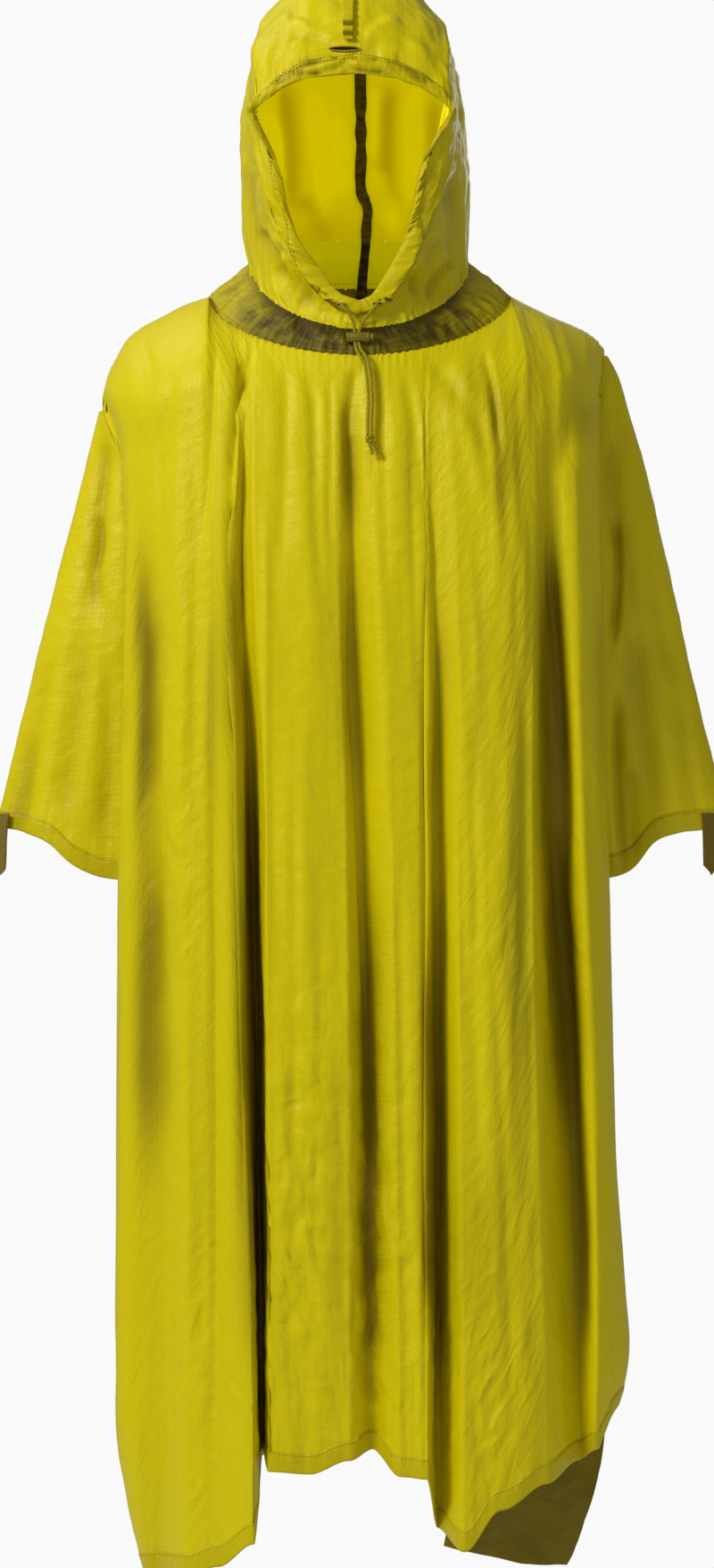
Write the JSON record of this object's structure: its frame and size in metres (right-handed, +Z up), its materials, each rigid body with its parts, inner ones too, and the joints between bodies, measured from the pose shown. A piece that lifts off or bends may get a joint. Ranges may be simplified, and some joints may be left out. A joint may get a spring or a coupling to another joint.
{
  "type": "hooded rain poncho",
  "caption": "Hooded rain poncho in coated ripstop, hanging as worn, with drawcord hood, yoke ring, turned hems and arm tabs.",
  "frame": {"origin": "centre of the base of the neck, between the shoulders that hold the garment", "axes": "+Z up, the face opening looks along -Y, +X to the right seen from the front"},
  "size_m": [0.7024, 0.3625, 1.4983],
  "materials": {
    "shell": "coated ripstop, semi-gloss",
    "doubled": "doubled coated ripstop",
    "tape": "seam tape, satin",
    "webbing": "woven webbing, matt",
    "cord": "braided cord, matt",
    "lock": "moulded plastic, satin"
  },
  "bodies": {
    "root": {"arm_cloth_left": "shell", "arm_cloth_right": "shell", "arm_hem_left": "doubled", "arm_hem_right": "doubled", "arm_tab_left": "webbing", "arm_tab_right": "webbing", "back_hem": "doubled", "back_panel": "shell", "back_side_hem_left": "doubled", "back_side_hem_right": "doubled", "cord_knot": "cord", "cord_lock": "lock", "cord_lock_button": "lock", "crown_tunnel": "doubled", "drawcord_left": "cord", "drawcord_right": "cord", "face_tunnel": "doubled", "front_corner": "doubled", "front_hem": "doubled", "front_panel": "shell", "front_side_hem_left": "doubled", "front_side_hem_right": "doubled", "hood_left": "shell", "hood_right": "shell", "seam_tape": "tape", "yoke": "doubled"}
  },
  "joints": []
}
